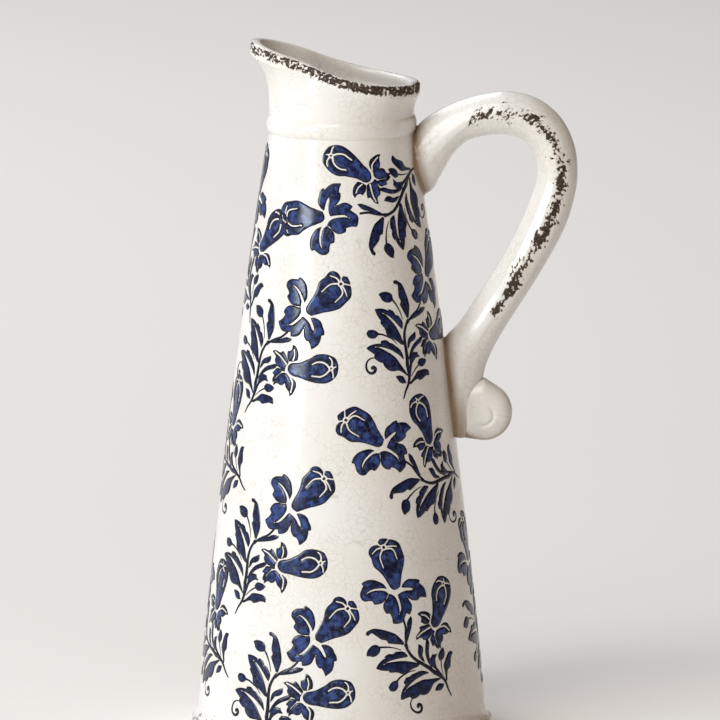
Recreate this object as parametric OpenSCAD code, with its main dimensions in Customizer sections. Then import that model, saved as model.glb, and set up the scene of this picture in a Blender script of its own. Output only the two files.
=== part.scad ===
// Tall glazed ceramic pitcher: a tapered hollow body on a flared foot, a short neck that sweeps up
// into a pouring lip, and a looped handle that ends in a scroll. Each formed piece of clay is one
// solid, and the pieces meet face to face where a potter lutes them together with slip.
// Millimetres. The origin is the centre of the foot's resting face, +Z is up, the spout points
// along -X and the handle stands along +X.

/* [Body] */
// Height of the body's top edge, where the raised band begins
body_top_z = 313.5; // [308:0.5:316]
// Outer radius of the body where it meets the foot
body_low_r = 74.4; // [72:0.1:77]
// Outer radius of the body just under the raised band
body_top_r = 38; // [38:0.1:40]
// How far the wall swells outside a straight cone, at mid height
body_swell = 2; // [0:0.1:5]
// Thickness of the wall
wall = 5; // [4:0.5:7]

/* [Foot] */
// Height of the foot ring
foot_height = 17; // [14:1:20]
// Outer radius of the foot's lower edge
foot_r = 78.2; // [78:0.1:82]
// Width of the flat resting face
rest_width = 8; // [6:1:10]
// Height of the hollow under the floor
foot_hollow = 7; // [5:1:9]
// Thickness of the floor
floor_thick = 7; // [5:1:8]

/* [Neck and mouth] */
// Outer radius of the neck
neck_r = 37.6; // [36:0.1:38]
// Height of the raised band round the neck's base
band_height = 9; // [6:0.5:10]
// How far the band stands out from the neck
band_stand = 1.5; // [1:0.1:4]
// Height of the rim's wall on the handle side
rim_low_z = 333.2; // [330:0.2:338]
// How much higher the rim is at the tip of the spout
spout_rise = 21.5; // [10:0.1:26]
// Radius of the rim's centre line on the handle side
rim_r = 38; // [36:0.1:39]
// How much further the rim reaches at the tip of the spout
spout_reach = 6.7; // [3:0.1:12]
// How much the mouth narrows beside the spout
spout_pinch = 3.4; // [0:0.1:4]
// Height of the rolled rim
rim_height = 6.8; // [5:0.1:8]
// How far the rolled rim stands out from the neck
rim_bulge = 0.7; // [0.2:0.1:1.5]

/* [Handle] */
// Radius of the scroll
scroll_r = 14.8; // [13:0.1:16]
// Width of the scroll along its axis
scroll_width = 22; // [18:1:26]
// Thickness of the slip that joins the handle to the body
slip_thick = 0.8; // [0.4:0.1:1.2]

/* [Hidden] */
$fn = 96;

cream = [0.93, 0.90, 0.84];
worn_brown = [0.36, 0.26, 0.20];
slip_brown = [0.70, 0.58, 0.44];

band_top_z = body_top_z + band_height;
full_turn = 360;

// ---------------------------------------------------------------- curves

function mix(a, b, t) = a + (b - a) * t;
function smooth(x) = let (t = max(0, min(1, x))) t * t * (3 - 2 * t);
// A smooth curve (Catmull-Rom) through the points p, at a share t of the span after point i.
function spline(p, i, t) =
    let (a = p[max(i - 1, 0)], b = p[i], c = p[i + 1], d = p[min(i + 2, len(p) - 1)])
    b + (c - a) * t / 2
    + (2 * a - 5 * b + 4 * c - d) * pow(t, 2) / 2
    + (3 * b - a - 3 * c + d) * pow(t, 3) / 2;

// ---------------------------------------------------------------- profiles

// The body's outer profile, moved inward by `inset`: t is the share of the way up from the foot.
body_steps = 20;
shoulder_share = 0.9;    // above this share of the height the wall turns in to the neck
function body_r(t) =
    mix(body_low_r, body_top_r, t) + body_swell * 4 * t * (1 - t)
    - (body_top_r - neck_r) * pow(max(0, t - shoulder_share) / (1 - shoulder_share), 2);
function body_profile(inset = 0) = [for (i = [0 : body_steps])
    let (t = i / body_steps) [body_r(t) - inset, mix(foot_height, body_top_z, t)]];

// The raised band's outer profile, moved outward by `grow`.
band_steps = 12;
band_edge = 0.5;         // the step at the band's lower and upper edges
function band_profile(grow = 0) = [for (i = [0 : band_steps])
    let (a = 180 * i / band_steps,
         r = neck_r + grow + band_edge + (band_stand - band_edge) * sin(a))
    [r, body_top_z + band_height * (1 - cos(a)) / 2]];

function reversed(list) = [for (i = [len(list) - 1 : -1 : 0]) list[i]];

// ---------------------------------------------------------------- lofting

// Joins rings, each a list of the same number of points, into one closed solid. A loop joins the
// last ring to the first one. Without a loop the two ends are closed flat.
module loft(rings, loop = false) {
    sides = len(rings[0]);
    count = len(rings);
    spans = loop ? count - 1 : count - 2;
    walls = [for (i = [0 : spans]) for (j = [0 : sides - 1])
        let (near = i * sides, far = ((i + 1) % count) * sides, k = (j + 1) % sides)
        each [[near + j, near + k, far + k], [near + j, far + k, far + j]]];
    first_end = [for (j = [sides - 1 : -1 : 0]) j];
    last_end = [for (j = [0 : sides - 1]) (count - 1) * sides + j];
    faces = loop ? walls : concat(walls, [first_end, last_end]);
    polyhedron(points = [for (ring = rings) each ring], faces = faces, convexity = 6);
}

// ---------------------------------------------------------------- body and foot

module body_wall()
    color(cream)
    rotate_extrude()
    polygon(concat(body_profile(), reversed(body_profile(wall))));

module floor_disc()
    color(cream)
    translate([0, 0, foot_hollow])
    cylinder(r = body_low_r - wall, h = floor_thick);

// The foot flares out under the body in one concave sweep, then drops to a rounded edge.
foot_edge_z = 6;         // top of the foot's straight edge
foot_edge_round = 1.6;   // rounding at the resting face
flare_steps = 8;
module foot_ring() {
    seat_r = body_low_r - wall;
    rest_outer_r = foot_r - foot_edge_round;
    rest_inner_r = rest_outer_r - rest_width;
    flare = [for (i = [0 : flare_steps]) let (a = 90 * i / flare_steps)
        [foot_r - (foot_r - body_low_r) * sin(a), mix(foot_height, foot_edge_z, cos(a))]];
    edge = [for (a = [-90 : 30 : 0])
        [rest_outer_r + foot_edge_round * cos(a), foot_edge_round * (1 + sin(a))]];
    seat = [[seat_r, foot_height], [seat_r, foot_hollow]];
    hollow = [[rest_inner_r - 1, foot_hollow], [rest_inner_r, 0]];
    color(cream)
    rotate_extrude()
    polygon(concat(edge, flare, seat, hollow));
}

// ---------------------------------------------------------------- neck and rim

module shoulder_band()
    color(cream)
    rotate_extrude()
    polygon(concat([[neck_r - wall, body_top_z]], band_profile(), [[neck_r - wall, band_top_z]]));

// The rim's centre line: a is the angle round the axis, and spoutward(a) runs from 0 at the
// handle to 1 at the spout.
rise_power = 1.85;       // above 1, the rim climbs mostly near the spout
reach_from = 0.72;       // where the rim begins to reach out into the spout
pinch_full = 0.6;        // where the mouth is narrowest
pinch_fades = 0.75;      // where the narrowing begins to fade again
function spoutward(a) = (1 - cos(a)) / 2;
function rim_z(a) = rim_low_z + spout_rise * pow(spoutward(a), rise_power);
function rim_line_r(a) =
    let (s = spoutward(a),
         reach = spout_reach * smooth((s - reach_from) / (1 - reach_from)),
         pinch = spout_pinch * smooth(s / pinch_full) * (1 - smooth((s - pinch_fades) / (1 - pinch_fades))))
    rim_r + reach - pinch;

// A point of the neck's skin: t runs from the band (0) to the rim (1), and side is +1 on the
// outer skin and -1 on the inner one. The neck is upright, and curls outward only near its rim:
// the higher the power, the later it curls.
handle_curl_power = 2;
spout_curl_power = 3.4;
function neck_skin(a, t, side) =
    let (curl = pow(t, mix(handle_curl_power, spout_curl_power, spoutward(a))),
         r = mix(neck_r - wall / 2, rim_line_r(a), curl) + side * wall / 2)
    [r * cos(a), r * sin(a), mix(band_top_z, rim_z(a), t)];

mouth_sides = 96;
neck_rows = 8;
mouth_angles = [for (j = [0 : mouth_sides - 1]) full_turn * j / mouth_sides];

module neck()
    color(cream)
    loft([for (a = mouth_angles) concat(
            [for (i = [0 : neck_rows]) neck_skin(a, i / neck_rows, 1)],
            [for (i = [neck_rows : -1 : 0]) neck_skin(a, i / neck_rows, -1)])],
        loop = true);

// The rolled edge that closes the top of the neck's wall: upright sides that bulge a little, and
// a round top.
rim_steps = 12;
side_power = 0.55;       // below 1, the section is squarer than an ellipse
top_power = 0.75;
module rim()
    color(worn_brown)
    loft([for (a = mouth_angles) [for (i = [0 : rim_steps])
            let (b = 180 * i / rim_steps,
                 across = sign(cos(b)) * pow(abs(cos(b)), side_power) * wall / 2,
                 bulge = sign(cos(b)) * rim_bulge * abs(sin(2 * b)),
                 r = rim_line_r(a) + across + bulge)
            [r * cos(a), r * sin(a), rim_z(a) + rim_height * pow(sin(b), top_power)]]],
        loop = true);

// ---------------------------------------------------------------- handle

// What a joined piece is cut back to: the outside of the body, the band and the neck, grown by
// `grow`, and everything inside it.
module body_core(grow = 0)
    rotate_extrude()
    polygon(concat([[0, foot_height]], body_profile(-grow), band_profile(grow),
        [[neck_r + grow, band_top_z], [neck_r + grow, rim_low_z], [0, rim_low_z]]));

// Stations along the handle from the neck to the scroll. Each gives the outer and the inner edge
// of the loop in the XZ plane, and half the width across it: [[x, z] outer, [x, z] inner, half].
handle_stations = [
    [[33, 309], [37, 279], 14.5],
    [[42, 319], [46.5, 282.5], 14],
    [[51, 325], [51.5, 290.5], 12.8],
    [[61, 329.5], [57.5, 301], 12],
    [[73, 333], [66, 309], 11.5],
    [[87, 334.5], [81, 312], 11.5],
    [[102, 330.5], [92.5, 310], 11.5],
    [[114, 320.5], [98.8, 304], 11.5],
    [[121, 306], [101.4, 297.5], 11.5],
    [[122.6, 291], [101.5, 290.5], 11.5],
    [[120.5, 277], [99, 281.5], 11.5],
    [[114.8, 260.5], [93.5, 267.5], 11.5],
    [[102.6, 238.5], [84, 248.5], 11.5],
    [[91.4, 220.8], [73, 231], 11.5],
    [[81.4, 204.5], [62, 214.5], 11.5],
    [[75.8, 193], [53, 204], 11.5],
    [[73.5, 184], [50, 190], 11.5],
    [[71, 175], [50, 176], 11.5],
    [[70, 166.5], [52, 166], 11.5],
    [[69, 160], [53, 160], 11.5],
    [[65, 153.5], [55, 155.3], 11]];
station_steps = 2;
handle_sides = 24;
handle_spans = len(handle_stations) - 1;
handle_sections = [for (i = [0 : handle_spans * station_steps])
    let (span = min(floor(i / station_steps), handle_spans - 1))
    spline(handle_stations, span, i / station_steps - span)];

// The handle is an oval in section, swept along its stations.
module handle_sweep()
    loft([for (section = handle_sections)
        let (middle = (section[0] + section[1]) / 2, half = (section[0] - section[1]) / 2)
        [for (j = [0 : handle_sides - 1]) let (a = -full_turn * j / handle_sides)
            [middle[0] + half[0] * cos(a), section[2] * sin(a), middle[1] + half[1] * cos(a)]]]);

module handle()
    color(cream)
    difference() {
        handle_sweep();
        body_core(slip_thick);
        scroll_coil();
    }

// The crease where the handle's own strap runs down beside its rolled end, in the XZ plane.
crease = [[76, 192], [71.5, 184], [66.8, 175.7], [65.2, 167.3], [63.6, 159], [62, 145]];
strap_side_x = 40;       // well inside the body, on the strap's side of the crease
scroll_at = [74.1, 0, 166.5];
coil_opens = [-7.3, 0, 3.2];    // how far the coil opens out towards the strap
coil_growth = 1.2;              // how much larger its radius is there
scroll_edge = 4;         // rounding of the scroll's edges

// A thick disc across the handle, with rounded edges.
module coil_disc(r)
    rotate([90, 0, 0])
    rotate_extrude()
    polygon(concat([[0, -scroll_width / 2]],
        [for (a = [-90 : 22.5 : 0])
            [r + scroll_edge * (cos(a) - 1), -scroll_width / 2 + scroll_edge * (1 + sin(a))]],
        [for (a = [0 : 22.5 : 90])
            [r + scroll_edge * (cos(a) - 1), scroll_width / 2 - scroll_edge * (1 - sin(a))]],
        [[0, scroll_width / 2]]));

// The coil on the outer side of the crease: round, and opened out where it leaves the strap.
module scroll_coil()
    difference() {
        hull() {
            translate(scroll_at) coil_disc(scroll_r);
            translate(scroll_at + coil_opens) coil_disc(scroll_r + coil_growth);
        }
        rotate([90, 0, 0])
        linear_extrude(2 * scroll_width, center = true)
        polygon(concat(crease, [[strap_side_x, crease[5][1]], [strap_side_x, crease[0][1]]]));
    }

// The rolled end of the handle: the coil with a spiral groove in both faces.
module scroll()
    color(cream)
    difference() {
        scroll_coil();
        for (side = [-1, 1]) translate(scroll_at + [0, side * scroll_width / 2, 0]) spiral_groove();
    }

groove_steps = 16;
groove_r = 0.9;          // radius of the groove's round section
groove_inner = [60, 3.9];       // angle and radius where the groove begins
groove_outer = [-125, 6.4];     // angle and radius where it ends
module spiral_groove()
    loft([for (i = [0 : groove_steps])
        let (way = mix(groove_inner, groove_outer, i / groove_steps), a = way[0], r = way[1])
        [for (b = [0 : 45 : 315])
            [(r + groove_r * cos(b)) * cos(a), groove_r * sin(b), (r + groove_r * cos(b)) * sin(a)]]]);

// The slip that fills a joint between the handle and the body: a long pad with round ends, as
// thin as the gap between them. low_z and high_z are the centres of its round ends.
slip_half_width = 12.5;
module slip_pad(low_z, high_z)
    color(slip_brown)
    intersection() {
        difference() {
            body_core(slip_thick);
            body_core();
        }
        rotate([90, 0, 90])
        linear_extrude(foot_r)
        union() {
            translate([0, low_z]) circle(r = slip_half_width);
            translate([0, high_z]) circle(r = slip_half_width);
            translate([-slip_half_width, low_z]) square([2 * slip_half_width, high_z - low_z]);
        }
    }

module upper_slip() slip_pad(291.5, 305.5);
module lower_slip() slip_pad(165.5, 194.5);

body_wall();
floor_disc();
foot_ring();
shoulder_band();
neck();
rim();
handle();
scroll();
upper_slip();
lower_slip();
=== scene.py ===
"""Looks of the glazed ceramic pitcher: glaze, crackle, chipped edges and the painted blossoms."""
from math import acos, ceil, copysign, cos, degrees, dist, exp, hypot, pi, radians, sin, sqrt, tau

import bpy
import numpy as np
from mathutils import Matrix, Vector, noise
from mathutils.geometry import delaunay_2d_cdt


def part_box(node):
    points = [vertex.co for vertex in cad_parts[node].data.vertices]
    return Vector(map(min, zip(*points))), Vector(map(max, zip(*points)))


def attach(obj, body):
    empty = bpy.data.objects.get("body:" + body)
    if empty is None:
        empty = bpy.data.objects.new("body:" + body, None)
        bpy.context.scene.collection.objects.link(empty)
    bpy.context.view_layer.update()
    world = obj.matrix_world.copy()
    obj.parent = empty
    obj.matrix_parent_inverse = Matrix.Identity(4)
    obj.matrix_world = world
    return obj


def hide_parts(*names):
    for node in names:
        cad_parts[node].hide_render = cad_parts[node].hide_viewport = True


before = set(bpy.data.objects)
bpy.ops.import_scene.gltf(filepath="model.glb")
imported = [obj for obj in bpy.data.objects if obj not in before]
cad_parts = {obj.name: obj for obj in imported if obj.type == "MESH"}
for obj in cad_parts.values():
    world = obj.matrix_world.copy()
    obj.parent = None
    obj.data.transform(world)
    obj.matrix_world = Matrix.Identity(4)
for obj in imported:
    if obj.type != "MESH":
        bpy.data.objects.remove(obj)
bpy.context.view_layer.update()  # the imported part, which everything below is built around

MM = 0.001  # the shapes below are worked out in millimetres


# ---- sizes, from the frame

def box_mm(node):
    """Lowest and highest corner of a CAD node, in millimetres."""
    low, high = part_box(node)
    return [c / MM for c in low], [c / MM for c in high]


BODY_BOX = box_mm("body_wall")
FOOT_BOX = box_mm("foot_ring")
FLOOR_BOX = box_mm("floor_disc")
BAND_BOX = box_mm("shoulder_band")
RIM_BOX = box_mm("rim")
SCROLL_BOX = box_mm("scroll")

WALL = 5.0  # thickness of the clay wall
FOOT_TOP = FOOT_BOX[1][2]
FOOT_R = FOOT_BOX[1][0]
BODY_TOP = BODY_BOX[1][2]
BODY_LOW_R = BODY_BOX[1][0]
BODY_TOP_R = 38.0  # what its radius at the top would be, if it didn't turn in there
BODY_SWELL = 2.0  # how far the wall swells outside a straight cone, at mid height
BODY_LEAN = 1.008  # length along the leaning wall for each unit of height
SHOULDER_SHARE = 0.9  # above this share of its height the wall turns in to the neck
FOOT_EDGE_Z = 6.0  # top of the foot's straight edge
BAND_TOP = BAND_BOX[1][2]
BAND_STAND = 1.5  # how far the band stands out from the neck
NECK_R = BAND_BOX[1][0] - BAND_STAND
RIM_HEIGHT = 6.8
RIM_LOW = 333.2  # height of the rim's wall on the handle side
RIM_R = 38.0  # radius of its centre line there
SPOUT_RISE = RIM_BOX[1][2] - RIM_HEIGHT - RIM_LOW
SPOUT_REACH = 6.7  # how far the rim runs out at the tip of the spout
SPOUT_PINCH = 3.4  # how much the mouth narrows beside the spout
SCROLL_R = 14.8  # radius of the handle's rolled end
SCROLL_Z = SCROLL_BOX[0][2] + SCROLL_R
SCROLL_X = SCROLL_BOX[1][0] - SCROLL_R
SCROLL_HALF = SCROLL_BOX[1][1]


# ---- curves and surfaces

def mix(a, b, t):
    return a + (b - a) * t


def smooth(x):
    """0 below 0 and 1 above 1, easing from one to the other."""
    t = min(max(x, 0.0), 1.0)
    return t * t * (3 - 2 * t)


def body_r(z):
    """Outer radius of the body, and below it of the flaring foot, at height z."""
    if z < FOOT_TOP:
        return foot_flare_r(z)
    t = min((z - FOOT_TOP) / (BODY_TOP - FOOT_TOP), 1.0)
    turn_in = max(0.0, t - SHOULDER_SHARE) / (1 - SHOULDER_SHARE)
    swell = BODY_SWELL * 4 * t * (1 - t)
    return mix(BODY_LOW_R, BODY_TOP_R, t) + swell - (BODY_TOP_R - NECK_R) * turn_in ** 2


def foot_flare_r(z):
    """Radius of the foot's concave flare, from its straight edge up to the body."""
    drop = min(max((FOOT_TOP - z) / (FOOT_TOP - FOOT_EDGE_Z), 0.0), 1.0)
    return FOOT_R - (FOOT_R - BODY_LOW_R) * sqrt(1 - drop ** 2)


def spoutward(a):
    """0 at the handle, 1 at the tip of the spout. a is the angle round the axis, in radians."""
    return (1 - cos(a)) / 2


def rim_z(a):
    rise_power = 1.85  # above 1, the rim climbs mostly near the spout
    return RIM_LOW + SPOUT_RISE * spoutward(a) ** rise_power


def rim_line_r(a):
    """Radius of the rim's centre line: narrower beside the spout, and reaching out at its tip."""
    reach_from, pinch_full, pinch_fades = 0.72, 0.6, 0.75
    s = spoutward(a)
    reach = SPOUT_REACH * smooth((s - reach_from) / (1 - reach_from))
    fading = smooth((s - pinch_fades) / (1 - pinch_fades))
    return RIM_R + reach - SPOUT_PINCH * smooth(s / pinch_full) * (1 - fading)


def neck_point(a, t, side):
    """A point of the neck: t runs from the band to the rim, side is +1 outside and -1 inside. It
    curls outward only near the rim, and later at the spout than at the handle."""
    handle_power, spout_power = 2, 3.4
    curl = t ** mix(handle_power, spout_power, spoutward(a))
    r = mix(NECK_R - WALL / 2, rim_line_r(a), curl) + side * WALL / 2
    return (r * cos(a), r * sin(a), mix(BAND_TOP, rim_z(a), t))


def hermite(p, q, p_way, q_way, t):
    """A point at share t of a smooth curve from p to q that leaves along p_way, arrives along q_way."""
    a = 2 * t ** 3 - 3 * t ** 2 + 1
    b = t ** 3 - 2 * t ** 2 + t
    c = t ** 3 - t ** 2
    return a * p + b * p_way + (1 - a) * q + c * q_way


def unit(v):
    length = np.linalg.norm(v)
    return v / length if length > 1e-9 else v


def rounded(points, step, closed=True, corner=radians(52)):
    """A smooth line through the points, one point each step. Where it turns more than corner it
    stays sharp."""
    p = [np.array(q, float) for q in points]
    count = len(p)
    spans = count if closed else count - 1
    ways = []
    for i in range(count):
        before, after = unit(p[i] - p[i - 1]), unit(p[(i + 1) % count] - p[i])
        at_end = not closed and i in (0, count - 1)
        turn = acos(np.clip(before @ after, -1, 1))
        ways.append(None if at_end or turn > corner else unit(before + after))
    line = []
    for i in range(spans):
        j = (i + 1) % count
        chord = p[j] - p[i]
        length = np.linalg.norm(chord)
        leave = chord if ways[i] is None else ways[i] * length
        arrive = chord if ways[j] is None else ways[j] * length
        pieces = max(1, round(length / step))
        line += [hermite(p[i], p[j], leave, arrive, k / pieces) for k in range(pieces)]
    if not closed:
        line.append(p[-1])
    return np.array(line)


# ---- meshes

def add_object(name, data):
    """A new object in the scene."""
    made = bpy.data.objects.new(name, data)
    bpy.context.scene.collection.objects.link(made)
    return made


def add_piece(name, points, faces, material, nodes=(), marks=None, sharp=50):
    """Makes a closed mesh from points in millimetres, hangs it under the root body and hides the CAD
    nodes that it stands in for. marks are named numbers for each point, which the materials read."""
    mesh = bpy.data.meshes.new(name)
    mesh.from_pydata([tuple(c * MM for c in p) for p in points], [], [list(f) for f in faces])
    for label, values in (marks or {}).items():
        layer = mesh.attributes.new(label, "FLOAT", "POINT")
        layer.data.foreach_set("value", np.array(values, np.float32))
    mesh.polygons.foreach_set("use_smooth", [True] * len(mesh.polygons))
    mesh.set_sharp_from_angle(angle=radians(sharp))
    mesh.materials.append(material)
    piece = add_object(name, mesh)
    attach(piece, "root")
    if nodes:
        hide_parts(*nodes)


def turns(count):
    """The angles that divide a full turn into count parts."""
    return [tau * j / count for j in range(count)]


def numbers_after(points, count):
    """The numbers that the next count points will have."""
    return list(range(len(points), len(points) + count))


def ring_faces(rings, closed=True, capped=False):
    """Faces between rings of point numbers. A ring that is one point repeated closes to a fan, and
    caps fill the first and the last ring."""
    faces = []
    followers = rings[1:] + rings[:1] if closed else rings[1:]
    for low, high in zip(rings, followers):
        for j in range(len(low)):
            k = (j + 1) % len(low)
            corners = list(dict.fromkeys([low[j], low[k], high[k], high[j]]))
            if len(corners) > 2:
                faces.append(corners)
    if capped:
        faces += [rings[0][::-1], rings[-1]]
    return faces


def lathe(profile, sides):
    """Points and faces of a closed profile [(r, z)...] turned round the axis. The profile runs up
    the outside and down the inside."""
    points, rings = [], []
    for r, z in profile:
        if r < 1e-6:
            rings.append([len(points)] * sides)
            points.append((0, 0, z))
            continue
        rings.append(numbers_after(points, sides))
        points += [(r * cos(a), r * sin(a), z) for a in turns(sides)]
    return points, ring_faces(rings)


def fine_line(corners, step):
    """Points along straight lines between the corners, no further apart than step."""
    line = []
    for p, q in zip(corners, corners[1:]):
        pieces = max(1, ceil(dist(p, q) / step))
        line += [(mix(p[0], q[0], k / pieces), mix(p[1], q[1], k / pieces)) for k in range(pieces)]
    return line + [corners[-1]]


# ---- chipped glaze

CHIP_DEPTH = 0.22  # how far the bare clay lies below the glaze
CHIP_SLOPE = 0.12  # how much the chip field rises before the clay is that deep


def chip_field(point, wear, grain):
    """Above 0 where the glaze is chipped off. wear runs from 0, sound, to 1, worn through, and a
    higher grain makes smaller chips."""
    if wear < 0.02:
        return -1.0
    wear_share, rough_share, patch_share, strength = 1.15, 0.75, 0.5, 0.72
    fineness, scale_step, octaves = 0.75, 2.1, 4
    patch_grain, patch_shift = 0.21, Vector((7, 3, 1))
    place = Vector(point) * grain
    rough = noise.fractal(place, fineness, scale_step, octaves)
    patches = noise.noise(place * patch_grain + patch_shift)
    field = wear_share * wear - strength + rough_share * rough + patch_share * patches
    return min(max(field, -1.0), 1.0)


def chipped(points, normals, wear, grain):
    """The points, pushed in where the glaze is chipped, and the chip field at each."""
    fields, moved = [], []
    for point, normal, amount in zip(points, normals, wear):
        field = chip_field(point, amount, grain)
        depth = CHIP_DEPTH * smooth(field / CHIP_SLOPE)
        moved.append(tuple(c - depth * n for c, n in zip(point, normal)))
        fields.append(field)
    return moved, fields


# ---- materials

def put(socket, value):
    """Links another node's output to the socket, or gives it a value."""
    if isinstance(value, bpy.types.NodeSocket):
        socket.id_data.links.new(value, socket)
    else:
        socket.default_value = value


def feed(fed, **inputs):
    """Puts a value or another node's output in each named input of a node."""
    for name, value in inputs.items():
        put(fed.inputs[name.replace("_", " ")], value)


def node_maker(tree):
    """A function that adds a node of some kind to the tree, with its settings and its inputs."""
    def node(kind, settings=None, **inputs):
        made = tree.nodes.new("ShaderNode" + kind)
        for name, value in (settings or {}).items():
            setattr(made, name, value)
        feed(made, **inputs)
        return made

    return node


def nodes_of(name):
    """A new node material, the maker of its nodes, and its shader."""
    material = bpy.data.materials.new(name)
    material.use_nodes = True
    tree = material.node_tree
    return material, node_maker(tree), tree.nodes["Principled BSDF"]


def ramp(node, value, low, high):
    """0 below low, 1 above high, smooth between."""
    soft = {"interpolation_type": "SMOOTHSTEP"}
    return node("MapRange", soft, Value=value, From_Min=low, From_Max=high).outputs["Result"]


def calc(node, operation, a, b):
    made = node("Math", {"operation": operation})
    put(made.inputs[0], a)
    put(made.inputs[1], b)
    return made.outputs["Value"]


def blend(node, share, first, second):
    """A colour between first and second."""
    made = node("Mix", {"data_type": "RGBA"}, Factor=share)
    put(made.inputs[6], first)
    put(made.inputs[7], second)
    return made.outputs[2]


def mark(node, name):
    """A number that the mesh carries at each point."""
    return node("Attribute", {"attribute_name": name}).outputs["Fac"]


def cloud(node, place, scale, detail):
    """Soft noise from 0 to 1, finer with a larger scale."""
    return node("TexNoise", Vector=place, Scale=scale, Detail=detail).outputs["Fac"]


def bump(node, height, invert=False, **inputs):
    """The normal of a skin that height raises or, inverted, lowers by up to Distance in metres."""
    return node("Bump", {"invert": invert}, Height=height, **inputs).outputs["Normal"]


CREAM = (0.87, 0.85, 0.81, 1)
CREAM_WARM = (0.84, 0.80, 0.73, 1)
CRACK = (0.42, 0.35, 0.28, 1)
# amber of pooled glaze; on the handle it is also laid on as painted shade
AMBER_POOL_AND_SHADE = (0.23, 0.135, 0.055, 1)
CLAY_DARK = (0.022, 0.013, 0.008, 1)
CLAY_LIGHT = (0.10, 0.060, 0.036, 1)
STAIN = (0.55, 0.43, 0.32, 1)  # thin glaze round a chip
CELL = 0.0034  # mean size of a crackle cell, metres
CELL_BEND = 0.0016  # how far its sides wander, metres
LINE_WIDTH = 0.055  # width of a crackle line, as a share of the cell


def crackle(node, place):
    """1 along the crackle lines: the edges of uneven cells, bent a little and missing in places."""
    bend = node("TexNoise", Vector=place, Scale=170.0, Detail=2.0).outputs["Color"]
    shift = node("VectorMath", {"operation": "SCALE"}, Vector=bend, Scale=CELL_BEND)
    bent = node("VectorMath", {"operation": "ADD"})
    put(bent.inputs[0], place)
    put(bent.inputs[1], shift.outputs["Vector"])
    cells = node("TexVoronoi", {"feature": "DISTANCE_TO_EDGE"},
                 Vector=bent.outputs["Vector"], Scale=1 / CELL)
    line = ramp(node, cells.outputs["Distance"], LINE_WIDTH, 0.0)
    fade = ramp(node, cloud(node, place, scale=60.0, detail=1.0), 0.3, 0.6)
    return calc(node, "MULTIPLY", line, fade)


def glaze_material(name, crack_strength=0.34, worn=False, tinted_by_pool_and_shade=False):
    """Glossy cream glaze with fine crackle. A worn glaze is chipped to dark clay where the mark
    "chip" is above 0. A tinted one turns amber with a second mark, which holds pooled glaze and,
    on the handle, painted shade as well."""
    least_rough, more_rough = 0.07, 0.07
    material, node, shader = nodes_of(name)
    place = node("TexCoord").outputs["Object"]
    warmth = ramp(node, cloud(node, place, scale=22.0, detail=3.0), 0.35, 0.75)
    colour = blend(node, warmth, CREAM, CREAM_WARM)
    if tinted_by_pool_and_shade:
        # amber where the glaze pools, and on the handle painted shade as well
        colour = blend(node, mark(node, "pool"), colour, AMBER_POOL_AND_SHADE)
    lines = crackle(node, place)
    colour = blend(node, calc(node, "MULTIPLY", lines, crack_strength), colour, CRACK)
    uneven = cloud(node, place, scale=90.0, detail=2.0)
    normal = bump(node, uneven, Strength=0.25, Distance=0.00025)
    normal = bump(node, lines, invert=True, Strength=0.25, Distance=0.0001, Normal=normal)
    rough = calc(node, "MULTIPLY", ramp(node, uneven, 0.2, 0.9), more_rough)
    rough = calc(node, "ADD", rough, least_rough)
    if worn:
        jagged, stain_strength, clay_rough = 1.1, 0.35, 0.6
        chip = mark(node, "chip")
        grit = cloud(node, place, scale=1000.0, detail=3.0)
        jag = calc(node, "MULTIPLY", calc(node, "SUBTRACT", grit, 0.5), jagged)
        bare = ramp(node, calc(node, "ADD", chip, jag), 0.0, 0.05)
        stain = calc(node, "MULTIPLY", ramp(node, chip, -0.25, 0.05), stain_strength)
        clay = blend(node, ramp(node, grit, 0.4, 0.7), CLAY_DARK, CLAY_LIGHT)
        colour = blend(node, bare, blend(node, stain, colour, STAIN), clay)
        rough = calc(node, "ADD", rough, calc(node, "MULTIPLY", bare, clay_rough))
        normal = bump(node, bare, invert=True, Strength=0.5, Distance=0.0003, Normal=normal)
    feed(shader, Base_Color=colour, Roughness=rough, Normal=normal)
    return material


COBALT = (0.040, 0.074, 0.245, 1)
COBALT_DEEP = (0.006, 0.010, 0.042, 1)
SPRAY_BLUE = (0.016, 0.030, 0.115, 1)
SPRAY_DEEP = (0.006, 0.009, 0.034, 1)
NAVY = (0.004, 0.005, 0.016, 1)


def cobalt_material(name, light, deep):
    """Cobalt underglaze: brushed blue that pools to near black close to the outline, where the mark
    "edge" is small, and in the mark "shade"."""
    crack_strength, ragged = 0.12, 0.6
    clear_of_edge, dark_at_edge = 0.75, 0.1
    least_rough, more_rough = 0.12, 0.08
    material, node, shader = nodes_of(name)
    place = node("TexCoord").outputs["Object"]
    brush = cloud(node, place, scale=300.0, detail=3.0)
    wash = ramp(node, brush, 0.32, 0.62)
    inward = calc(node, "SUBTRACT", mark(node, "edge"), calc(node, "MULTIPLY", brush, ragged))
    rim = ramp(node, inward, clear_of_edge, dark_at_edge)
    dark = calc(node, "MAXIMUM", rim, mark(node, "shade"))
    colour = blend(node, dark, blend(node, wash, light, deep), NAVY)
    cracks = calc(node, "MULTIPLY", crackle(node, place), crack_strength)
    rough = calc(node, "ADD", calc(node, "MULTIPLY", wash, more_rough), least_rough)
    feed(shader, Base_Color=blend(node, cracks, colour, CRACK), Roughness=rough,
         Normal=bump(node, brush, Strength=0.2, Distance=0.0002), Specular_IOR_Level=0.3)
    return material


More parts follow.
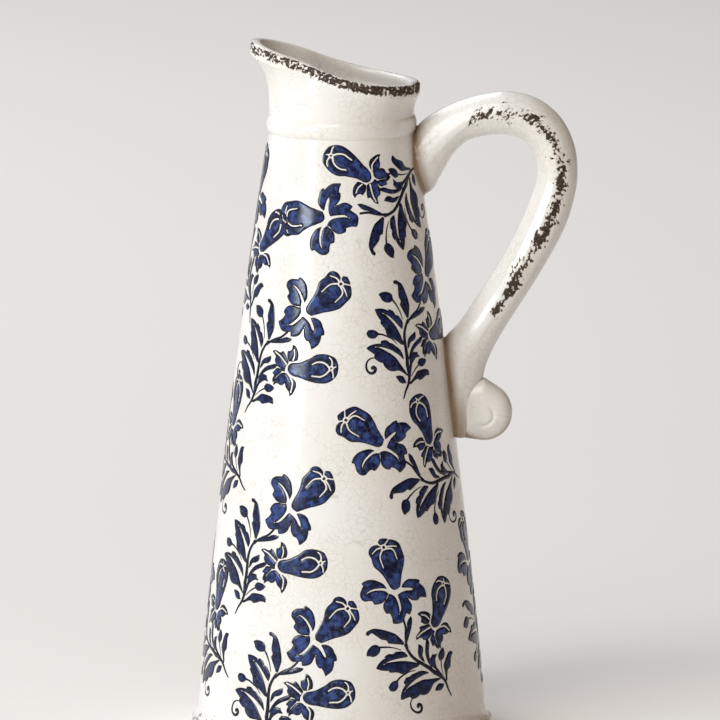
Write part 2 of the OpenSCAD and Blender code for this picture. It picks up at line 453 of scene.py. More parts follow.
BODY_GLAZE = glaze_material("body_glaze")
WORN_GLAZE = glaze_material("worn_glaze", worn=True)
FOOT_GLAZE = glaze_material("foot_glaze", worn=True)
HANDLE_GLAZE = glaze_material("handle_glaze", crack_strength=0.3, worn=True, tinted_by_pool_and_shade=True)
SLIP_GLAZE = glaze_material("slip_glaze", crack_strength=0.3, tinted_by_pool_and_shade=True)
BLOSSOM_COBALT = cobalt_material("blossom_cobalt", COBALT, COBALT_DEEP)
SPRAY_COBALT = cobalt_material("spray_cobalt", SPRAY_BLUE, SPRAY_DEEP)


# ---- body, floor and foot

ROUND_SIDES = 192  # sides of the round pieces that have no chips


def body_shell():
    rows = 56
    heights = [mix(FOOT_TOP, BODY_TOP, i / rows) for i in range(rows + 1)]
    outside = [(body_r(z), z) for z in heights]
    inside = [(r - WALL, z) for r, z in reversed(outside)]
    points, faces = lathe(outside + inside, ROUND_SIDES)
    add_piece("body_shell", points, faces, BODY_GLAZE, ["body_wall"])


def floor_plate():
    """The floor, a little thinner at its middle."""
    top_rings, under_rings = 12, 8
    dish = 0.6
    low, high = FLOOR_BOX[0][2], FLOOR_BOX[1][2]
    r = FLOOR_BOX[1][0]
    top = [(r * (1 - k / top_rings), high - dish * smooth(k / top_rings)) for k in range(top_rings)]
    under = [(r * k / under_rings, low) for k in range(under_rings + 1)]
    points, faces = lathe(under + top + [(0, high - dish)], sides=128)
    add_piece("floor_plate", points, faces, BODY_GLAZE, ["floor_disc"])


def foot():
    """The flared foot ring, with glaze worn off its lower edge."""
    edge_round, rest_width, rest_taper = 1.6, 8.0, 1
    rest_outer = FOOT_R - edge_round
    rest_inner = rest_outer - rest_width
    seat_r = BODY_LOW_R - WALL
    hollow = FLOOR_BOX[0][2]
    worn_most, worn_less = 0.62, 0.045  # wear at the table, and how much less each millimetre up
    worn_to, worn_in = 13, 2  # how far up and in from the edge the wear goes
    edge = [(rest_outer + edge_round * cos(a), edge_round * (1 + sin(a)))
            for a in np.linspace(-pi / 2, 0, 6)]
    flare = [(foot_flare_r(z), z) for z in np.linspace(FOOT_EDGE_Z, FOOT_TOP, 15)]
    inner = [(seat_r, FOOT_TOP), (seat_r, hollow), (rest_inner - rest_taper, hollow), (rest_inner, 0)]
    points, faces = lathe(fine_line(edge + flare, step=0.8) + fine_line(inner, step=3), sides=540)
    wear = []
    for x, y, z in points:
        outside = hypot(x, y) > rest_outer - worn_in
        wear.append((worn_most - worn_less * z) if outside and z < worn_to else 0.0)
    normals = [unit(np.array((x, y, 0.0))) for x, y, _ in points]
    points, chip = chipped(points, normals, wear, grain=0.5)
    add_piece("foot", points, faces, FOOT_GLAZE, ["foot_ring"], {"chip": chip})


# ---- collar, neck and lip

def collar():
    """The raised band round the base of the neck, a soft roll."""
    rows = 20
    edge_stand = 0.06  # the step at the band's lower and upper edges
    edge_power = 1.5  # above 1, the roll runs out softly towards them
    profile = []
    for i in range(rows + 1):
        b = pi * i / rows
        stand = mix(edge_stand, BAND_STAND, sin(b) ** edge_power)
        profile.append((NECK_R + stand, BODY_TOP + (BAND_TOP - BODY_TOP) * (1 - cos(b)) / 2))
    inside = [(NECK_R - WALL, BAND_TOP), (NECK_R - WALL, BODY_TOP)]
    points, faces = lathe(profile + fine_line(inside, step=3), ROUND_SIDES)
    add_piece("collar", points, faces, BODY_GLAZE, ["shoulder_band"])


def neck_and_spout():
    rows = 30
    points, rings = [], []
    shares = [i / rows for i in range(rows + 1)]
    for side, order in ((1, shares), (-1, shares[::-1])):
        for t in order:
            rings.append(numbers_after(points, ROUND_SIDES))
            points += [neck_point(a, t, side) for a in turns(ROUND_SIDES)]
    add_piece("neck_and_spout", points, ring_faces(rings), BODY_GLAZE, ["neck"])


def lip_wear(a, across, height):
    """How worn the lip is: most along its outer edge, on the handle's side and below its crest.
    across is measured outward from its centre line, and height is a share of its own."""
    handle_side, spout_side = 0.92, 0.78
    worn_in, worn_width = 2.2, 2.4
    full_height, crest, crest_height, crest_loss = 0.45, 0.93, 0.07, 0.55
    outer = smooth((across + worn_in) / worn_width)
    band = smooth(height / full_height) * (1 - crest_loss * smooth((height - crest) / crest_height))
    return mix(handle_side, spout_side, smooth(-cos(a))) * outer * band


def lip():
    """The rolled lip, whose glaze is chipped to brown clay."""
    sides, steps = 640, 40
    bulge = 0.7
    side_power, top_power = 0.55, 0.75  # below 1, the section is squarer than an ellipse
    points, normals, wear, rings = [], [], [], []
    for i in range(steps + 1):
        b = pi * i / steps
        rings.append(numbers_after(points, sides))
        side = copysign(1, cos(b)) if i * 2 != steps else 0
        half_width = abs(cos(b)) ** side_power * WALL / 2
        across = side * (half_width + bulge * abs(sin(2 * b)))
        up = RIM_HEIGHT * sin(b) ** top_power if 0 < i < steps else 0.0
        for a in turns(sides):
            r = rim_line_r(a) + across
            points.append((r * cos(a), r * sin(a), rim_z(a) + up))
            normals.append((cos(a) * cos(b), sin(a) * cos(b), sin(b)))
            wear.append(lip_wear(a, across, up / RIM_HEIGHT))
    points, chip = chipped(points, normals, wear, grain=0.7)
    add_piece("lip", points, ring_faces(rings), WORN_GLAZE, ["rim"], {"chip": chip})


# ---- handle

# Sections of the handle, from its upper root to its end under the scroll: where its outer edge
# and its inner edge lie, and half its width: [outer x, outer z, inner x, inner z, half width].
STATIONS = [
    [33, 309, 37, 279, 14.5],
    [42, 319, 46.5, 282.5, 14],
    [51, 325, 51.5, 290.5, 12.8],
    [61, 329.5, 57.5, 301, 12],
    [73, 333, 66, 309, 11.5],
    [87, 334.5, 81, 312, 11.5],
    [102, 330.5, 92.5, 310, 11.5],
    [114, 320.5, 98.8, 304, 11.5],
    [121, 306, 101.4, 297.5, 11.5],
    [122.6, 291, 101.5, 290.5, 11.5],
    [120.5, 277, 99, 281.5, 11.5],
    [114.8, 260.5, 93.5, 267.5, 11.5],
    [102.6, 238.5, 84, 248.5, 11.5],
    [91.4, 220.8, 73, 231, 11.5],
    [81.4, 204.5, 62, 214.5, 11.5],
    [75.8, 193, 53, 204, 11.5],
    [73.5, 184, 50, 190, 11.5],
    [71, 175, 50, 176, 11.5],
    [70, 166.5, 52, 166, 11.5],
    [69, 160, 53, 160, 11.5],
    [65, 153.5, 55, 155.3, 11]]
STATION_STEPS = 16
HANDLE_SIDES = 72
SINK = 2.5  # how deep the handle's root is sunk in the wall
WORN_FROM, WORN_TO = 0.14, 0.655  # the chipped stretch of the handle, as shares of its length
WORN_TURN = 1.45  # where round the section the chips run: a little out from the side's ridge
POOL_MOST = 0.95  # how strongly the glaze pools where a piece meets the body


def station(share):
    """The handle's section at share 0..1 along its stations (Catmull-Rom)."""
    last = len(STATIONS) - 1
    place = share * last
    i = min(int(place), last - 1)
    t = place - i
    a, b, c, d = (np.array(STATIONS[min(max(k, 0), last)]) for k in range(i - 1, i + 3))
    return (b + (c - a) * t / 2 + (2 * a - 5 * b + 4 * c - d) * t * t / 2
            + (3 * b - a - 3 * c + d) * t ** 3 / 2)


def handle_point(share, a):
    """A point of the handle's skin. a is 0 at the outer edge of the loop and pi at the inner one.
    A soft ridge runs along both sides."""
    ridge_height, ridge_width = 0.6, 0.03
    outer_x, outer_z, inner_x, inner_z, half = station(share)
    middle = np.array(((outer_x + inner_x) / 2, 0, (outer_z + inner_z) / 2))
    out = np.array(((outer_x - inner_x) / 2, 0, (outer_z - inner_z) / 2))
    ridge = ridge_height * exp(-((abs(sin(a)) - 1) / ridge_width) ** 2)
    return middle + out * cos(a) + np.array((0, (half + ridge) * sin(a), 0))


def sunk(point):
    """The point, moved outward where it would come through the wall into the pitcher."""
    x, y, z = point
    r = hypot(x, y)
    least = body_r(z) - SINK
    if r >= least:
        return (x, y, z)
    return (x * least / r, y * least / r, z)


def off_body(point):
    """How far a point stands off the body."""
    return hypot(point[0], point[1]) - body_r(point[2])


def handle_wear(share, a):
    """How worn the handle's glaze is: most beside its two ridges."""
    sets_in, dies_out, half_width, most = 0.06, 0.035, 0.38, 0.82
    worn = smooth((share - WORN_FROM) / sets_in) * (1 - smooth((share - WORN_TO) / dies_out))
    near = min(abs(a - WORN_TURN), abs(tau - a - WORN_TURN))
    return most * worn * exp(-(near / half_width) ** 2)


def handle_pool_and_shade(share, a, point):
    """How much amber tint the handle gets: pooled glaze against the body, and a painted shade down
    the outer edge of the lower arm."""
    arm_shade_strength, arm_width, arm_from, arm_run = 0.35, 0.16, 0.62, 0.14
    arm = smooth((share - arm_from) / arm_run)
    # painted shade: the outer edge of the lower arm is tinted darker amber, as if in shadow
    arm_shade = arm_shade_strength * exp(-(sin(a / 2) / arm_width) ** 2) * arm
    upper_reach, lower_reach, lower_from, lower_run = 8, 13, 0.8, 0.15
    reach = mix(upper_reach, lower_reach, smooth((share - lower_from) / lower_run))
    return max(POOL_MOST * (1 - smooth(off_body(point) / reach)), arm_shade)


def handle_strap():
    """The looped strap, chipped along both of its ridges, tinted amber where the glaze pools against
    the body, and given a painted shade down the outer edge of its lower arm.
    """
    rows = (len(STATIONS) - 1) * STATION_STEPS
    points, normals, wear, pool, rings = [], [], [], [], []
    for share in (i / rows for i in range(rows + 1)):
        rings.append(numbers_after(points, HANDLE_SIDES))
        for a in turns(HANDLE_SIDES):
            point = handle_point(share, a)
            wear.append(handle_wear(share, a))
            # pooled glaze against the body, and painted shade down the lower arm
            pool.append(handle_pool_and_shade(share, a, point))
            points.append(sunk(point))
            normals.append((0, sin(a), 0))
    faces = ring_faces(rings, closed=False, capped=True)
    points, chip = chipped(points, normals, wear, grain=0.6)
    add_piece("handle_strap", points, faces, HANDLE_GLAZE, ["handle"],
              {"chip": chip, "pool": pool}, sharp=70)


def scroll_outline(theta):
    """The scroll's radius: a circle whose rim runs on straight where it opens out to the strap."""
    round_middle = radians(-21)
    round_half = radians(77)
    straight_most = radians(33)
    away = abs((theta - round_middle + pi) % tau - pi)
    straight = min(max(away - round_half, 0.0), straight_most)
    return SCROLL_R / cos(straight)


def scroll_point(rho, theta, side):
    """A point of the scroll's skin: rho runs from 0 at its axis to 1 at its rim, side is -1 or 1."""
    groove_from, groove_sweep = radians(228), radians(205)
    groove_start, groove_end = 6.3, 4.0  # its distance from the axis
    groove_half, groove_depth, fade_in, fade_out = 0.8, 1.1, 0.15, 0.3
    edge_power, dome = 3, 0.05  # how tight the rim turns, and how far the face bulges
    r = rho * scroll_outline(theta)
    share = ((theta - groove_from) % tau) / groove_sweep
    dip = 0.0
    if share <= 1:
        off = (r - mix(groove_start, groove_end, share)) / groove_half
        fade = smooth(share / fade_in)
        dip = groove_depth * exp(-off ** 2) * fade * smooth((1 - share) / fade_out)
    edge = max(0.0, 1 - rho ** edge_power) ** (1 / edge_power)
    face = SCROLL_HALF * edge * (1 - dome * rho ** 2)
    return (SCROLL_X + r * cos(theta), side * (face - dip), SCROLL_Z + r * sin(theta))


def scroll_pool_and_shade(point):
    """How much amber tint the scroll gets: pooled glaze against the body, and a painted shade
    along its lower rim.
    """
    reach, rim_from, rim_width, under_shade_strength = 7, 0.8, 0.2, 0.85
    fall, least = 9, 0.2  # the painted shade sets in a little above the axis, and grows below it
    x, _, z = point
    rim = smooth((hypot(x - SCROLL_X, z - SCROLL_Z) / SCROLL_R - rim_from) / rim_width)
    # painted shade: the lower rim of the scroll is tinted darker amber, as if in shadow
    under = rim * smooth((SCROLL_Z - z) / fall + least)
    return max(POOL_MOST * (1 - smooth(off_body(point) / reach)), under_shade_strength * under)


def handle_scroll():
    """The rolled end of the handle, with a soft spiral groove in each face."""
    sides, rings_out = 120, 34
    points, rings = [], []
    shares = [sin(pi / 2 * k / rings_out) for k in range(rings_out + 1)]
    for side, order in ((-1, shares), (1, shares[-2::-1])):
        for rho in order:
            if rho == 0:
                rings.append([len(points)] * sides)
                points.append(scroll_point(0, 0, side))
                continue
            rings.append(numbers_after(points, sides))
            points += [scroll_point(rho, a, side) for a in turns(sides)]
    # pooled glaze against the body, and painted shade along the lower rim
    marks = {"chip": [-1.0] * len(points), "pool": [scroll_pool_and_shade(p) for p in points]}
    points = [sunk(p) for p in points]
    add_piece("handle_scroll", points, ring_faces(rings, closed=False), HANDLE_GLAZE,
              ["scroll"], marks, sharp=80)


# ---- slip that fills the joints

BEAD = 2.4  # how far the bead of slip reaches up the handle
BED_ON_BAND = 0.3  # how far outside the neck the bead lies on the band
SEAM_ON_BAND = 0.6  # how far outside it the seam runs there
UP_HANDLE = 0.012  # a short step along the handle, as a share of its length


def skin_r(z, on_band):
    """Radius of the body, or of the band above it, which stands on_band outside the neck."""
    return body_r(z) if z < BODY_TOP else NECK_R + on_band


def on_body(point, grow):
    """The nearest place on the body at the point's own height, moved out by grow."""
    x, y, z = point
    r = hypot(x, y)
    skin = skin_r(z, BED_ON_BAND) + grow
    return np.array((x * skin / r, y * skin / r, z))


def clearance(point):
    """How far a point stands off the body, or off the band above it."""
    x, y, z = point
    return hypot(x, y) - skin_r(z, SEAM_ON_BAND)


def crossing(test, low, high):
    """Where test changes from below 0 to above 0 between low and high."""
    for _ in range(24):
        middle = (low + high) / 2
        if test(middle) < 0:
            low = middle
        else:
            high = middle
    return (low + high) / 2


def seam_place(corner, lifted, away):
    """One place of a seam: its point, the bead's top, which lies towards lifted, and the direction
    on the body away from the handle."""
    return corner, corner + unit(lifted - corner) * BEAD, away


def seam_bead(name, seam, node, loop):
    """A concave bead of slip along a seam, from the body's skin up the handle."""
    section = 8
    reach, proud, depth = 2.2, 0.03, 0.8  # out over the body, above its skin and into the wall
    foot_pool, bed_pool = 0.3, 0.5
    points, rings, pool = [], [], []
    for corner, top, away in seam:
        foot_point = on_body(corner + away * reach, proud)
        rings.append(numbers_after(points, section + 1))
        for t in (k / (section - 1) for k in range(section)):
            curve = (1 - t) ** 2 * foot_point + 2 * t * (1 - t) * corner + t * t * top
            points.append(tuple(curve))
            pool.append(mix(foot_pool, POOL_MOST, smooth(2 * t)))
        points.append(tuple(on_body(corner, -depth)))
        pool.append(bed_pool)
    faces = ring_faces(rings, closed=loop, capped=not loop)
    add_piece(name, points, faces, SLIP_GLAZE, [node], {"pool": pool}, sharp=60)


def upper_joint():
    """The bead round the handle's upper root."""
    root = np.array((42.0, 0.0, 296.0))
    furthest = 0.12  # the seam lies within this share of the handle's length
    seam = []
    for a in turns(96):
        share = crossing(lambda s: clearance(handle_point(s, a)), 0.0, furthest)
        corner = handle_point(share, a)
        away = corner - root
        away[0] = 0
        seam.append(seam_place(corner, handle_point(share + UP_HANDLE, a), unit(away)))
    seam_bead("upper_joint", seam, "upper_slip", loop=True)


def lower_joint():
    """The bead down both sides of the handle's lower root, meeting above it."""
    rows, first, last, end = 44, 0.6, 0.78, 0.985
    up_side = 0.12  # a short step round the section, in radians
    top_share = crossing(lambda s: -clearance(handle_point(s, pi)), first, last)
    sides = []
    for side in (-1, 1):
        line = []
        for share in (mix(top_share, end, k / rows) for k in range(1, rows + 1)):
            a = crossing(lambda b: clearance(handle_point(share, pi - b * side)), 0.0, pi / 2)
            corner = handle_point(share, pi - a * side)
            lifted = handle_point(share, pi - (a + up_side) * side)
            line.append(seam_place(corner, lifted, np.array((0.0, side, 0.0))))
        sides.append(line)
    crotch = handle_point(top_share, pi)
    above = handle_point(top_share - UP_HANDLE, pi)
    top = seam_place(crotch, above, np.array((0.0, 0.0, 1.0)))
    seam_bead("lower_joint", sides[0][::-1] + [top] + sides[1], "lower_slip", loop=False)


# ---- painted motifs: outlines

# Each motif is drawn flat, in millimetres, with its stalk end at the origin and its tip along +Y.
# Its fills are closed outlines. Its stalks are lines painted with a brush and its slits are lines
# left bare: (points, width at the start, width at the end). Its rings are circles left bare, but
# for a gap: (x, y, radius, width). Its shades are darker strokes: (points, width).

BLOSSOM = {
    "fills": [
        [(-1.2, 0), (-2.5, 1), (-3.5, 4), (-4.5, 8), (-6, 11.5), (-8, 15), (-8, 19.5), (-8.5, 22),
         (-7.5, 24), (-5, 25), (-2.5, 24.5), (-1.2, 24.1), (-2, 26), (-0.5, 27.3), (2.5, 26.5),
         (3.5, 25.8), (6, 24.5), (8.5, 22), (9, 18), (9, 14), (7.5, 10.5), (5, 6.5), (3.5, 3.5),
         (2, 0.5)],
        [(-5.5, 2), (-6.5, 4.5), (-9, 7), (-11.5, 8.5), (-14.5, 9), (-17, 8.5), (-16.6, 7), (-18, 5.5),
         (-19.5, 3.5), (-19.7, 1), (-18.5, -0.5), (-16, -1), (-14.5, -1.7), (-14.1, -3.7),
         (-11.7, -4.1), (-9.5, -4), (-6, -1.5), (-5.5, -1), (-6.7, 0.7), (-9.3, 2), (-12.3, 2.7),
         (-15.3, 2.6), (-17.1, 2), (-16.3, 3.2), (-12.8, 4.1), (-9.3, 3.6), (-6.3, 2.6)],
        [(-5, -1.3), (-5.5, -2.3), (-8, -4), (-9.7, -6), (-10, -8.3), (-9.5, -10.2), (-7.6, -10.7),
         (-7.1, -13), (-7.6, -16.3), (-6, -17), (-2.6, -17.3), (-0.3, -15.2), (1.2, -13.6),
         (2.9, -15.1), (4.6, -13.1), (5.3, -10.9), (4.6, -8.1), (4.2, -5.6), (6, -7.9), (7.9, -9.2),
         (10.3, -9.6), (11.1, -8.9), (13.1, -9.3), (15.4, -10.5), (15.8, -6.4), (14.7, -3.9),
         (13.3, -2.1), (14.1, -0.8), (12.4, 0.5), (10.6, 1.1), (8.6, 2), (6.6, 2), (4.2, 0.9),
         (3, -0.3), (5.4, -1.1), (7.9, -2.2), (9.7, -3.6), (8.1, -4), (4.9, -3.1), (1.7, -3),
         (-0.3, -3.4), (-0.3, -7.5), (-0.8, -11), (-3.3, -13.7), (-2.5, -11.7), (-2, -7.3),
         (-2.5, -3.9), (-3.6, -2.3)]],
    "slits": [
        ([(-0.9, 22), (-3.4, 18.7), (-3.6, 12.6)], 0.9, 0.5),
        ([(-1, 22.8), (-3.6, 23), (-7, 21.4)], 0.9, 0.5),
        ([(-0.8, 23.5), (-2.6, 25.1)], 0.8, 0.5),
        ([(0.6, 23.6), (4, 25.9)], 0.8, 0.5),
        ([(1, 22.6), (4.2, 22), (7, 20.8)], 0.9, 0.5),
        ([(0.7, 21.8), (4.2, 20.3), (5.2, 14.4)], 0.9, 0.5)],
    "rings": [(0, 22.7, 1.25, 0.8)],
    "shades": [
        ([(-3.6, 13.5), (-4.2, 16.5), (-4.2, 19)], 1.1),
        ([(5.4, 17.6), (4.2, 13), (1.8, 9.1)], 1.9),
        ([(4.6, 21.2), (8.3, 20)], 1.1),
        ([(-4, 22), (-7.4, 20.4)], 0.9),
        ([(0, 22.7), (0.1, 22.7)], 1.6),
        ([(-2.6, 12.6), (-3.6, 10.6)], 1.3)]}

BUD = {
    "fills": [
        [(0.25, 1), (-1.5, 1.25), (-2.75, 2.75), (-3, 5.25), (-3.25, 8), (-4.25, 11), (-5.25, 13.75),
         (-6.75, 16.25), (-7.25, 19), (-7, 21.75), (-6, 24.5), (-4.75, 26.5), (-2.75, 27.5), (-0.5, 28),
         (2, 27.75), (3.75, 27.25), (5.5, 25.75), (6.75, 24), (7.5, 21.75), (7.5, 19), (7, 16),
         (6.25, 13.25), (5.25, 10.25), (4.25, 7.5), (3.5, 4.5), (2.25, 2.25)],
        [(1, -1.25), (0.5, -3.5), (-0.75, -3.5), (-1.75, -5.5), (-3.25, -6.75), (-4.75, -7.25),
         (-6.25, -6.5), (-7.75, -7.25), (-9.25, -8.75), (-9.5, -6.75), (-8.75, -5), (-8.25, -3.25),
         (-9.25, -2.25), (-7.75, -1), (-6.25, -0.25), (-5, 0.5), (-3.75, 1), (-2.75, 0.5),
         (-1.25, -0.75)],
        [(-4.25, 1.75), (-6.5, 0.75), (-9.25, 1), (-9.25, 2.25), (-10.25, 3.5), (-12.5, 4),
         (-11.25, 5.5), (-9, 6.5), (-6.75, 6.75), (-4.75, 6.25), (-4.25, 4.25)],
        [(1.25, -3.25), (0.25, -3.5), (-0.25, -4.5), (-0.25, -6.25), (0.75, -7.25), (2, -8.75),
         (3, -7.5), (5.25, -8.75), (6.5, -8.75), (6.25, -8), (4.25, -7), (2.5, -5)],
        [(2.25, -0.5), (4.25, 1.5), (5, 3.5), (6.5, 5), (8.5, 5.5), (10.5, 4.75), (12.5, 3.5),
         (13.75, 2), (11.75, 1.75), (9.5, 0), (6.25, -1), (7.5, -1.75), (8, -3.75), (7, -5.5),
         (7.25, -7), (8.25, -8.25), (7.25, -8), (5.25, -6.75), (3.5, -5), (2.25, -3)]],
    "slits": [
        ([(-2.5, 0), (-4.5, -1.75), (-7, -4.25), (-9, -7.25)], 0.9, 0.7),
        ([(-4.5, 3.75), (-7.25, 4.75), (-10.25, 4.5)], 0.7, 0.6),
        ([(4.5, 2.25), (6.75, 3.5), (9.25, 3.25), (12, 2.5)], 0.8, 0.7),
        ([(0.25, 23.75), (-2, 22), (-3.25, 19.5), (-3.25, 17), (-2.25, 14.5)], 0.9, 0.7),
        ([(1, 23.75), (3, 21.75), (4.25, 19), (4, 16.5), (3.75, 14.25)], 0.9, 0.7),
        ([(-0.5, 24.75), (-3, 25), (-4.5, 24.5), (-5.5, 23.5)], 0.8, 0.6),
        ([(0.2, 25.25), (-0.5, 27)], 0.8, 0.5),
        ([(0.7, 24.75), (3.25, 25.5), (5.25, 25.5)], 0.8, 0.6)],
    "rings": [(0.25, 24.5, 1.05, 0.7)],
    "shades": [
        ([(-4.3, 15), (-5, 18.5), (-4, 21.8), (-1.4, 23.6)], 1.4),
        ([(4.8, 14), (5.2, 19), (4, 22), (2.2, 23.6)], 1.6),
        ([(-2.3, 14.4), (-3, 17)], 1.1),
        ([(3.1, 14), (3.1, 17)], 1.1),
        ([(0.25, 24.5), (0.3, 24.5)], 1.4)]}

SPRAY = {
    "fills": [
        [(1.5, 41), (4, 43.5), (7.5, 45.5), (10, 47.5), (13.5, 48), (12.5, 46.5), (9.5, 44.5),
         (4, 42)],
        [(-0.5, 42), (-2, 44), (-4, 46.5), (-5.5, 48.5), (-5, 50), (-6.5, 52.5), (-7, 55.5),
         (-7.5, 58.5), (-8.5, 59), (-10, 59), (-10.5, 60), (-9.5, 60.5), (-7.5, 60), (-5.5, 59),
         (-3.5, 56.5), (-2, 54), (-0.5, 51), (0.5, 48), (0.5, 45.5), (0.3, 42)],
        [(-18.5, 52.5), (-17, 53.5), (-14.5, 54), (-12, 53.5), (-11, 52.5), (-10.5, 50.5),
         (-11.5, 49.5), (-14, 49), (-16.5, 50), (-17.5, 51.5)],
        [(-20, 44.5), (-18, 45), (-15, 45), (-12.5, 44.3), (-12.5, 45.2), (-10, 44.5), (-8, 42.5),
         (-7, 42.5), (-5, 41), (-3.5, 39), (-3.5, 36), (-5.5, 37.5), (-8, 39.5), (-11, 41.5),
         (-13.5, 42.7), (-16.4, 43.2), (-14, 42), (-10.8, 39.5), (-8.5, 37.5), (-6.5, 35.2),
         (-4.5, 32.5), (-3, 30), (-1.5, 28), (-3, 28), (-6, 29.5), (-8.5, 30.5), (-11, 31),
         (-12.5, 32.5), (-12.9, 33.5), (-13.5, 35), (-15, 36.5), (-16.5, 38), (-16.1, 39),
         (-17.5, 40.5), (-19, 42.5)],
        [(-23.5, 31.5), (-23, 33), (-21.5, 33.5), (-19.5, 33.5), (-18, 32.7), (-17, 32), (-18, 31),
         (-19, 30), (-21, 29.5), (-22.5, 30)],
        [(-23, 24), (-21, 25.5), (-18.5, 26.5), (-15.5, 27), (-15.3, 28.5), (-12.5, 29), (-10.5, 27.8),
         (-9.5, 27.8), (-7, 26.5), (-5, 25.5), (-3, 23.5), (-1.5, 20.5), (-3.5, 22), (-6.5, 23.5),
         (-9.5, 24.7), (-12.5, 25.4), (-15.5, 25.7), (-19.2, 25.1), (-15.5, 24.6), (-12.5, 23.5),
         (-9, 22), (-6.5, 20.5), (-4, 18), (-1.5, 15.5), (0.5, 13.5), (1.8, 12), (-1, 13.5), (-4, 14.5),
         (-7, 14), (-9.5, 14), (-11.5, 15), (-12.9, 16.5), (-13.3, 17.5), (-16, 18), (-18.5, 19.5),
         (-18.3, 21.3), (-20, 22.3), (-21.5, 23)],
        [(-5.5, 11), (-3.5, 11.5), (-1, 11), (0, 9.5), (1, 8.5), (-1.5, 8), (-3, 8.5), (-4.5, 10)],
        [(1, 26), (1, 30.5), (2.5, 32.5), (4.5, 34), (5.5, 35), (6, 32.5), (5, 31), (2.5, 29.5),
         (1.7, 27.5)],
        [(2, 21), (3, 25), (5, 28.5), (8, 31), (11, 33), (11.5, 32.5), (10.5, 30.5), (7.5, 28.3),
         (5.2, 26), (4, 24), (3.3, 20)],
        [(2.3, 12.5), (3, 18), (3, 22), (4.5, 24), (7.5, 24.5), (8, 23.5), (9.5, 22.5), (7, 22),
         (5.5, 20.5), (4.2, 18.5), (3.8, 15.5), (3.7, 11.5)],
        [(8.5, 19), (9.5, 21), (12.5, 21.5), (15, 21), (14, 19), (11.5, 17.5), (9.5, 18)],
        [(3, 7.8), (5.5, 10.5), (7, 12.5), (8.5, 14.5), (11.5, 15.5), (15, 16), (17, 15.5), (18, 13.5),
         (15, 13), (13.5, 12), (10.5, 10.5), (9, 11), (6.5, 10), (4.3, 8.2)]],
    "stalks": [
        ([(0, 0), (1, 4), (2.4, 7.5), (2.9, 10.5), (2.2, 14.5), (1.1, 18)], 0.8, 2.4),
        ([(1.3, 17), (0.6, 22), (-0.4, 26), (-1.4, 30), (-1.8, 34), (-1.3, 37), (0, 41)], 2.3, 1.4),
        ([(-0.3, 39), (1.5, 41.5), (4, 44), (7, 46.5), (9.5, 50.5)], 1.4, 1.2),
        ([(-10.8, 50.7), (-8, 48), (-6, 45.5), (-4.5, 43), (-3.6, 41)], 1.1, 0.4),
        ([(-17.5, 32), (-15, 32), (-12, 31.2), (-9, 30), (-6, 27.8)], 1.1, 0.4),
        ([(9, 18), (7, 16), (5.5, 14), (4.4, 12)], 0.9, 0.4),
        ([(-15.5, 18.6), (-18.5, 19.4), (-20.7, 18.8), (-22.3, 16.8), (-22.5, 14), (-21.3, 11.9),
          (-19.5, 11.3), (-17.9, 12.3), (-17.5, 13.9), (-18.6, 14.7), (-19.3, 13.8)], 0.4, 1.9)]}

OUTLINE_STEP = 0.7  # distance between points along an outline
FILL_STEP = 0.9  # distance between points inside it
RELIEF = 0.28  # how far the glaze over the paint stands proud
RIM_LIFT = 0.05  # how far it stands proud at the paint's edge
RELIEF_SLOPE = 0.5  # over what distance it rises
ROUNDING = 0.7  # below 1, it rises steeply at first
BED = 0.5  # how deep the motif is bedded in the glaze
BARE = 1  # height left unpainted at the foot's edge and below the band
SPREAD = 0.3  # how far the paint runs past the drawn outline
EDGE_SHADE = 0.85  # shade on the fills' upper right edges
EDGE_SHADE_WAY = np.array((0.75, 0.75))  # which way they lie, and how wide the shade is
STROKE_CORE, STROKE_FALL = 1.5, 0.9  # a shading stroke is full to past its middle, then fades


def brush_line(points, start_width, end_width):
    """The outline of a brushed line with tapering width and pointed ends."""
    end_reach = 0.8  # how far an end runs on, as a share of half the width
    line = rounded(points, OUTLINE_STEP, closed=False, corner=pi)
    ways = np.gradient(line, axis=0)
    ways /= np.linalg.norm(ways, axis=1)[:, None]
    sides = np.stack([-ways[:, 1], ways[:, 0]], 1)
    half = np.linspace(start_width, end_width, len(line))[:, None] / 2
    tail = line[-1] + ways[-1] * half[-1] * end_reach
    head = line[0] - ways[0] * half[0] * end_reach
    return np.concatenate([line + sides * half, [tail], (line - sides * half)[::-1], [head]])


def spread(loop):
    """The outline, moved outward all round by the paint's spread."""
    before, after = np.roll(loop, 1, axis=0), np.roll(loop, -1, axis=0)
    area = (loop[:, 0] * after[:, 1] - after[:, 0] * loop[:, 1]).sum()
    way = after - before
    way /= np.maximum(np.linalg.norm(way, axis=1)[:, None], 1e-9)
    outward = np.stack([way[:, 1], -way[:, 0]], 1) * copysign(1, area)
    return loop + outward * SPREAD


def inside(points, loop):
    """Which points lie inside a closed outline."""
    x, y = points[:, 0, None], points[:, 1, None]
    ax, ay = loop[:, 0][None], loop[:, 1][None]
    bx, by = np.roll(loop[:, 0], -1)[None], np.roll(loop[:, 1], -1)[None]
    crosses = (ay > y) != (by > y)
    run = np.where(by == ay, 1e-12, by - ay)
    return (crosses & (x < (bx - ax) * (y - ay) / run + ax)).sum(1) % 2 == 1


def distances(points, starts, ends):
    """Distance from each point to the nearest of the segments, worked out a block at a time."""
    block = 400
    way = ends - starts
    length = np.maximum((way ** 2).sum(1), 1e-12)
    best = np.full(len(points), 1e9)
    for start in range(0, len(points), block):
        part = points[start:start + block]
        t = np.clip(((part[:, None] - starts[None]) * way[None]).sum(2) / length[None], 0, 1)
        near = starts[None] + t[..., None] * way[None]
        best[start:start + block] = np.linalg.norm(part[:, None] - near, axis=2).min(1)
    return best


